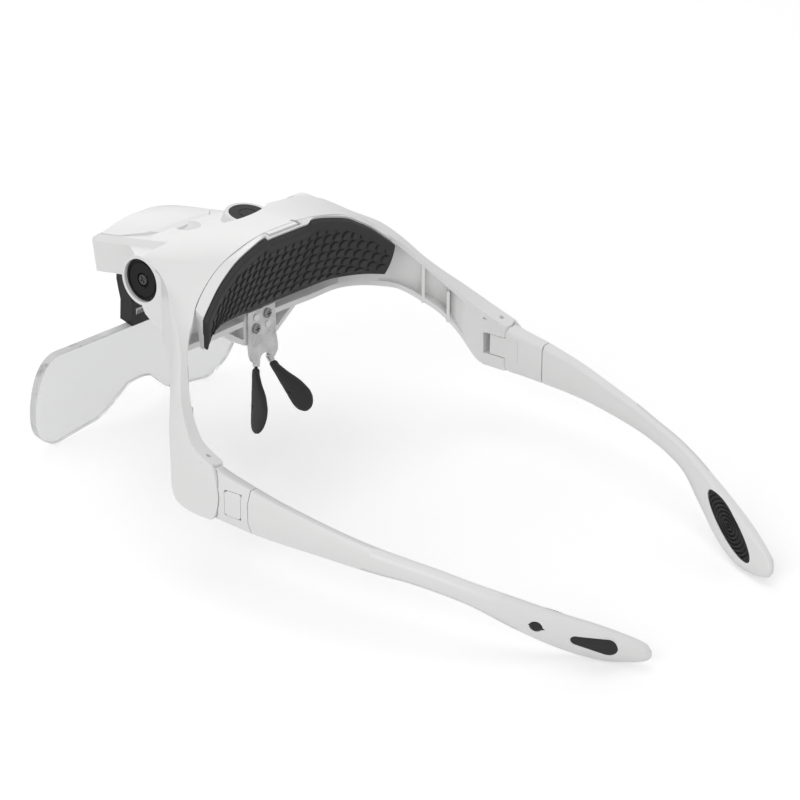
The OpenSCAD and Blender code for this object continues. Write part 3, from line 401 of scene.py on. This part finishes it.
# the face is crowned by a parabola across its width, and its edge rounded by a quarter
# circle of radius pad_round
lift = pad_crown * 4 * share * (1 - share) + disc_rise * inside * (rise - moat_deep * groove)
short = np.maximum(pad_round - to_edge, 0)
drop = pad_round - np.sqrt(np.maximum(pad_round ** 2 - short ** 2, 0))
face = pad_top[:, None] + share[:, None] * (pad_low - pad_top)[:, None] \
    + (lift - drop)[..., None] * pad_out
foot_top, foot_low = (edge[:, None] - pad_thick * pad_out for edge in (pad_top, pad_low))
pad_rings = np.concatenate([foot_top, face, foot_low], 1)
pad_coat = black_moulding("forehead_rubber", 0.03, 0.52, 3000, 0.00003)
# painted shade: the moat round each disc is painted darker and rougher than the rest of the face,
# as shade falls in the groove
pad_groove_shade = pad_coat.node("ShaderNodeAttribute", {"attribute_name": "hollow"}, out=2)
cloud = pad_coat.noise(140, 3.0, 0.6)
pad_coat.feed(Base_Color=pad_coat.mix(pad_groove_shade, (0.036, 0.036, 0.037), (0.008, 0.008, 0.008)),
              Roughness=cloud * 0.2 + 0.5 + pad_groove_shade * 0.2)
forehead = lofted("forehead_pad_scaled", pad_rings, pad_coat, "frame", "pad_rubber",
                  "forehead_pad")
flat = np.zeros((len(along), 1))
# the moats' depth is kept on the face rings as the painted shade that the rubber reads
mark(forehead, "hollow", np.hstack([flat, groove * inside, flat]))


# Nose pads: soft silicone leaves pushed onto black wire legs. One long edge is straight,
# the other bulges. The vent near the widest place is a hollow on both faces, no hole.
def turned(points, degrees, axis):
    """Turns points round one axis, right-handed, by the sine and cosine of the angle."""
    a, (i, j) = math.radians(degrees), ((1, 2), (2, 0), (0, 1))[axis]
    out = np.array(points, float)
    out[..., i] = math.cos(a) * points[..., i] - math.sin(a) * points[..., j]
    out[..., j] = math.sin(a) * points[..., i] + math.cos(a) * points[..., j]
    return out


def on_leg(points, side):
    """Local points of a nose pad, wire down -Z, to the end of the left or right leg: twisted
    round the wire, tilted back, splayed outwards and moved to the eye of the bracket."""
    points = turned(points * (side, 1, 1), side * leg_twist, 2)
    points = turned(turned(points, leg_tilt, 0), -leg_splay * side, 1)
    return points + (leg_x * side, leg_y, leg_z)


leg_twist, leg_tilt, leg_splay = 72, 15, 22
leg_x, leg_y, leg_z = 3.7, -42.85, -5.2
nose_long, nose_half, leaf_start, flank_power = 21.0, 4.5, -0.6, 0.8
vent_x, vent_share, vent_r, vent_pinch, dish_thin = 0.4, 0.62, 0.42, 0.8, 0.12
# stations down the leaf: share of its length, share of its half width, half thickness
leaf = fair_line([[0, 0.2, 0.75], [0.03, 0.32, 1.05], [0.1, 0.35, 1.15], [0.245, 0.53, 1.2],
                  [0.36, 0.73, 1.25], [0.46, 0.87, 1.25], [0.64, 1, 1.2], [0.76, 0.97, 1.15],
                  [0.87, 0.83, 1.05], [0.95, 0.58, 0.85], [1, 0.2, 0.5]], 12)
bulge = np.interp(leaf[:, 0], [0, 0.1, 0.245, 0.36, 0.46, 0.64, 0.76, 0.87, 0.95, 1],
                  [0, 0.05, 0.9, 1.75, 2.4, 3, 2.85, 2.4, 2.05, 1.9])[:, None]
# each ring is an oval whose flanks are flattened by a power of the sine, thinner across
# its middle by the dish and pinched at the vent
leaf_w = (leaf[:, 1] * nose_half)[:, None]
leaf_t, leaf_z = leaf[:, 2:3], leaf_start - leaf[:, :1] * nose_long
spin = np.radians(np.arange(96) * 3.75)[None]
flank = np.sign(np.sin(spin)) * np.abs(np.sin(spin)) ** flank_power
leaf_x = bulge + leaf_w * np.cos(spin)
from_vent = np.hypot(leaf_x - vent_x, leaf_z + vent_share * nose_long)
vent = np.clip(1.6 - from_vent / vent_r, 0, 1)
dish = 1 - dish_thin * np.clip(1 - ((leaf_x - bulge) / leaf_w) ** 2, 0, 1)
nose_rings = np.stack([leaf_x, leaf_t * flank * dish * (1 - vent_pinch * vent),
                       leaf_z + 0 * spin], -1)
nose_rubber = black_moulding("nose_silicone", 0.022, 0.40, 2600, 0.00002, 0.4)
wire_black = black_moulding("wire_coating", 0.02, 0.35, 3500, 0.00002)
for side, word in ((1, "left"), (-1, "right")):
    lofted("nose_leaf_" + word, on_leg(nose_rings, side), nose_rubber, "nose_" + word,
           "nose_silicone", "nose_pad_" + word)
    smoothed("nose_stem_" + word, "nose_" + word, wire_black.material)


# Temple cushions: rubber moulded through the arm. Inside, a slim oval pad with rings of
# shallow grooves, painted darker by their depth as painted shade; outside, its two plugs
# show as a dot with points and a tapered pill.
def on_cushion(points, side):
    """Local points, outward +X and the long way along Y, to the left or right arm."""
    placed = turned(turned(points, blade_roll, 1), blade_dip, 0)
    return (turned(placed, blade_turn, 2) + blade_at) * (side, 1, 1)


def in_cushion(points, side):
    """The way back from metres in the part's frame to a cushion's local millimetres."""
    local = (np.asarray(points, float) * 1000 - hinge_middle) * (side, 1, 1) - blade_at
    return turned(turned(turned(local, -blade_turn, 2), -blade_dip, 0), -blade_roll, 1)


blade_roll, blade_dip, blade_turn, blade_at = 19, -16, 28.6, (43.1, 108, -31.2)
oval_half, oval_up, oval_turn, cushion_thick = 15.1, 3.5, -5.5, 1.6
oval_at, oval_sunk = (2.7, 1.55), 1.3
groove_long, groove_wide, groove_deep, edge_deep, crown_deep = 1.7, 0.8, 0.55, 0.45, 0.2
# the oval is a disc of rings by spokes, drawn out lengthways; its depth is a cosine of
# the distance from the middle, which makes the grooves, and falls off round the edge
ring_share = np.r_[np.linspace(0.01, 1, 90), 1, 1][:, None]
spoke = np.radians(np.arange(144) * 2.5)[None]
oval = np.stack([0 * ring_share * spoke, oval_half * ring_share * np.cos(spoke),
                 oval_up * ring_share * np.sin(spoke)], -1)
oval = turned(oval, oval_turn, 0)
rings_at = np.hypot(oval[..., 1] / groove_long, oval[..., 2] / groove_wide)
ridged = (0.5 - 0.5 * np.cos(2 * np.pi * rings_at)) ** 1.5 * (ring_share < 0.93)
edge_in = np.clip((ring_share - 0.9) / 0.1, 0, 1)
depth = groove_deep * ridged + edge_deep * edge_in ** 2 + crown_deep * ring_share ** 2
depth[-2], depth[-1] = 0.8, cushion_thick
oval += np.stack([depth - oval_sunk - cushion_thick, oval_at[0] + 0 * depth,
                  oval_at[1] + 0 * depth], -1)
grip = black_moulding("cushion_rubber", 0.018, 0.48, 2800, 0.00003)
# painted shade: the oval's grooves are painted darker by their depth, as shade falls in them
cushion_groove_shade = grip.node("ShaderNodeAttribute", {"attribute_name": "hollow"}, out=2)
grip.feed(Base_Color=grip.mix(cushion_groove_shade, (0.026, 0.026, 0.027), (0.005, 0.005, 0.005)))
tip_dot = np.array([[-9.4, 1.4], [-8.5, 2.05], [-7.9, 2.85], [-7, 3.35], [-6.1, 2.85],
                    [-5.4, 2.1], [-4.2, 1.4], [-5.4, 0.7], [-6.1, -0.05], [-7, -0.55],
                    [-7.9, -0.05], [-8.5, 0.75]])
half_turn = np.radians(np.arange(0, 181, 15))
tip_pill = np.vstack([np.c_[4.9 - 1.8 * np.sin(half_turn), 1.5 + 1.8 * np.cos(half_turn)],
                      np.c_[13.6 + 2.9 * np.sin(half_turn), 2.4 - 2.9 * np.cos(half_turn)]])
plug_grow = np.array([0.02, 0.3, 0.55, 0.75, 0.9, 0.97, 1, 1])[:, None, None]
plug_up = np.array([0.16, 0.15, 0.13, 0.10, 0.06, 0.0, -0.08, -1.2])[:, None]
for side, word in ((1, "left"), (-1, "right")):
    body = "arm_" + word
    pad = lofted("cushion_oval_" + word, on_cushion(oval, side), grip, body, "cushion_rubber",
                 "temple_cushion_" + word)
    # the grooves' depth is kept on the oval as the painted shade that the rubber reads
    mark(pad, "hollow", ridged)
    # the plugs end flush with the arm, whose face there is found by least squares
    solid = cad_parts["temple_cushion_" + word].data
    corners = np.empty(len(solid.vertices) * 3)
    solid.vertices.foreach_get("co", corners)
    local = in_cushion(corners.reshape(-1, 3), side)
    local = local[local[:, 0] > -0.6]
    for shape, outline, own in (("dot", tip_dot, local[local[:, 1] < -1]),
                                ("pill", tip_pill, local[local[:, 1] > 1])):
        own = own[own[:, 0] > own[:, 0].mean()]
        ones = np.ones((len(own), 1))
        fit = np.linalg.lstsq(np.hstack([ones, own[:, 1:]]), own[:, 0], rcond=None)[0]
        centre = outline.mean(0)
        flat_at = centre + plug_grow * (outline - centre)
        face_x = fit[0] + flat_at @ fit[1:] + plug_up
        lofted("cushion_" + shape + "_" + word,
               on_cushion(np.concatenate([face_x[..., None], flat_at], -1), side),
               grip, body, "cushion_rubber", crease=40)


# Knobs, power button and lens holder: hard black plastic, turned or moulded, a little
# glossier than the rubber; the knobs' screws are blackened steel.
knob_plastic = black_moulding("knob_plastic", 0.007, 0.34, 3500, 0.00002, 0.2)
holder_plastic = black_moulding("holder_plastic", 0.010, 0.22, 3000, 0.00001, 0.4)
screw_black = black_moulding("screw_black", 0.012, 0.2, 1800, 0.00001, 0.9)
for node, body, slot, coat in (
        ("knob_left", "lamp_head", "knob_black", knob_plastic),
        ("knob_right", "lamp_head", "knob_black", knob_plastic),
        ("knob_screw_left", "lamp_head", "screw_black", screw_black),
        ("knob_screw_right", "lamp_head", "screw_black", screw_black),
        ("power_button", "power", "button_black", knob_plastic),
        ("lens_holder", "holder", "holder_black", holder_plastic)):
    smoothed(node, body, coat.material, 30, 0.1)


# Bright metal: the bracket is pressed from steel sheet and screwed on, pins and springs
# are drawn steel, the strips sprung brass, and the cells plated cans.
def metal(name, shade, gloss, streak, dents=0.0):
    """Metal with fine streaks across Z, mixed by the share dents with a cloudy mottle."""
    coat = Coat(name)
    where = coat.node("ShaderNodeMapping", {}, coat.at, None, None, (1.0, 1.0, 14.0))
    mask = coat.noise(streak, 3.0, 0.6, where)
    if dents:
        blotch = (coat.noise(260, 3.0, 0.6) * 3.0 - 1.0).clamp()
        mask = mask * (1 - dents) + blotch * dents
    dull = tuple(s * (0.85 - 0.2 * dents) for s in shade)
    coat.feed(Base_Color=coat.mix(mask, dull, shade), Roughness=mask * 0.18 + gloss,
              Metallic=1.0)
    coat.bump(mask, 0.00001 + 0.00006 * dents)
    return coat.material


steel = metal("satin_steel", (0.62, 0.63, 0.64), 0.24, 900)
pressed = metal("pressed_steel", (0.70, 0.70, 0.70), 0.22, 900, 0.8)
plated = metal("plated_steel", (0.30, 0.30, 0.31), 0.14, 2400)
brass = metal("sprung_brass", (0.78, 0.62, 0.33), 0.25, 900)
for node, body, slot in (
        ("hinge_pin_left", "frame", "pin_steel"), ("hinge_pin_right", "frame", "pin_steel"),
        ("box_screws", "lamp_head", "screw_steel"),
        ("cell_left", "lamp_head", "cell_steel"), ("cell_middle", "lamp_head", "cell_steel"),
        ("cell_right", "lamp_head", "cell_steel"),
        ("lens_holder_pin", "lamp_head", "pin_steel")):
    smoothed(node, body, steel)
# each spring stands on its inner end; it gets a mesh of its own, and its button's joint,
# travel, push and foot are listed with it
for node, body, joint, travel, push, foot in (
        ("power_spring", "lamp_head", "power_press", 0.0006, (0, 0.1736, 0.9848), 0),
        ("release_spring_left", "base_left", "latch_press_left", 0.0008, (1, 0, 0), 0),
        ("release_spring_right", "base_right", "latch_press_right", 0.0008, (1, 0, 0), 1)):
    spring = smoothed(node, body, steel)
    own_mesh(spring)
smoothed("nose_plate", "frame", pressed)
smoothed("nose_screws", "frame", plated)
for node in ("contact_under_left", "contact_under_right", "contact_over_left",
             "contact_over_right"):
    smoothed(node, "lamp_head", brass)


# Small inner pieces: a lacquered circuit board with a dark moulded switch on it, and
# turned nylon washers under the knobs.
def plain(name, low, high, gloss):
    coat = Coat(name)
    cloud = coat.noise(260, 3.0, 0.6)
    coat.feed(Base_Color=coat.mix(cloud, low, high), Roughness=cloud * 0.2 + gloss)
    coat.bump(coat.noise(2400), 0.00001)
    return coat.material


smoothed("circuit_board", "lamp_head",
         plain("board_lacquer", (0.03, 0.20, 0.09), (0.05, 0.27, 0.13), 0.3))
smoothed("switch_body", "lamp_head",
         plain("switch_plastic", (0.03, 0.03, 0.035), (0.06, 0.06, 0.065), 0.4))
nylon = plain("washer_nylon", (0.68, 0.66, 0.60), (0.76, 0.74, 0.68), 0.45)
smoothed("washer_left", "lamp_head", nylon)
smoothed("washer_right", "lamp_head", nylon)


# Lamps: two clear resin domes on thin flanges, cast round their chips and pushed into
# the underside of the box.
def clear_resin(name, tint, rough):
    """Clear cast resin, with a faint haze in its gloss and its surface."""
    coat = Coat(name)
    haze = coat.noise(30, 2.0, 0.5)
    coat.feed(Base_Color=(*tint, 1), Roughness=haze * 0.03 + rough, Transmission_Weight=1.0,
              IOR=1.49)
    coat.bump(haze, 0.00002)
    return coat


resin = clear_resin("lamp_resin", (0.95, 0.97, 0.98), 0.04)
smoothed("led_left", "lamp_head", resin.material)
smoothed("led_right", "lamp_head", resin.material)


# Lens plate: 2.8 mm of cast clear acrylic, cut to a two-lobed outline with a tab for the
# holder. The faces are polished; the sawn rim is pale and frosted, with darker streaks.
lens_thick, lens_round, lens_lean, lens_at = 2.8, 0.4, 14.0, (0, -96.2, -2.86)
tab_half, tab_tall = 7, 6
face_frost, rim_frost, shadow_thin = 0.14, 0.52, 0.85
lens_half = fair_line([[0, -24.2], [5, -25], [9.4, -28.6], [13.8, -32.4], [18, -34.6],
                       [24, -35.4], [31, -36.4], [36.5, -37.05], [41.5, -34.6],
                       [45.6, -30.4], [47.9, -24], [48.8, -16], [48.1, -8], [45.8, -2.8],
                       [42, -0.2], [36, 0]], 8)
rim = np.vstack([lens_half[:0:-1] * (-1, 1), lens_half,
                 [[tab_half, 0], [tab_half, tab_tall], [-tab_half, tab_tall], [-tab_half, 0]]])
# the outline is stacked through the thickness, and drawn in along its mitres at both
# faces by a quarter circle of radius lens_round
before, after = np.roll(rim, 1, 0), np.roll(rim, -1, 0)
edge_a, edge_b = rim - before, after - rim
edge_a, edge_b = (e / np.linalg.norm(e, axis=1)[:, None] for e in (edge_a, edge_b))
mitre = edge_a + edge_b
mitre /= np.linalg.norm(mitre, axis=1)[:, None]
inward = np.stack([-mitre[:, 1], mitre[:, 0]], 1) \
    / np.maximum(np.einsum("ij,ij->i", mitre, edge_b), 0.5)[:, None]
arc = np.radians([0, 30, 60, 90])
inset = lens_round * (1 - np.r_[np.sin(arc), np.sin(arc[::-1])])
level = np.r_[-lens_thick / 2 + lens_round * (1 - np.cos(arc)),
              (lens_thick / 2 - lens_round * (1 - np.cos(arc)))[::-1]]
flat_rim = rim[None] + inset[:, None, None] * inward[None]
lens_rings = np.stack([flat_rim[..., 0], level[:, None] + 0 * flat_rim[..., 0],
                       flat_rim[..., 1]], -1)
acrylic = clear_resin("clear_acrylic", (0.99, 0.992, 0.993), 0.0)
plate = lofted("lens_plate_clear", turned(lens_rings, -lens_lean, 0) + lens_at, acrylic,
               "lens", "lens_acrylic", "lens_plate", crease=10)
mark(plate, "rim", np.abs(lens_rings[..., 1]) < lens_thick / 2 - 0.02)
# two finishes share the plate: clear resin, and a frosted one that the rim has most of
sawn = acrylic.node("ShaderNodeBsdfPrincipled", {})
streak = acrylic.noise(90, 3.0, 0.7)
pale = acrylic.node("ShaderNodeValToRGB", {"stops": ((0.34, 0.42), (0.47, 0.86))}, streak)
sawn.socket.node.inputs["Roughness"].default_value = 0.25
cut = acrylic.node("ShaderNodeAttribute", {"attribute_name": "rim"}, out=2)
frosted = acrylic.mix(cut, (0.95, 0.955, 0.96), pale)
acrylic.tree.links.new(frosted.socket, sawn.socket.node.inputs["Base Color"])
mixed = acrylic.node("ShaderNodeMixShader", {}, cut * rim_frost + face_frost)
# lamp light passes through the plate, so that it casts only a faint shadow
in_shadow = acrylic.node("ShaderNodeLightPath", {}, out=1)
thin = 1 - in_shadow * shadow_thin
acrylic.feed(Alpha=thin)
acrylic.tree.links.new(thin.socket, sawn.socket.node.inputs["Alpha"])
acrylic.tree.links.new(acrylic.shader.outputs[0], mixed.socket.node.inputs[1])
acrylic.tree.links.new(sawn.socket, mixed.socket.node.inputs[2])
acrylic.tree.links.new(mixed.socket, acrylic.tree.nodes["Material Output"].inputs["Surface"])
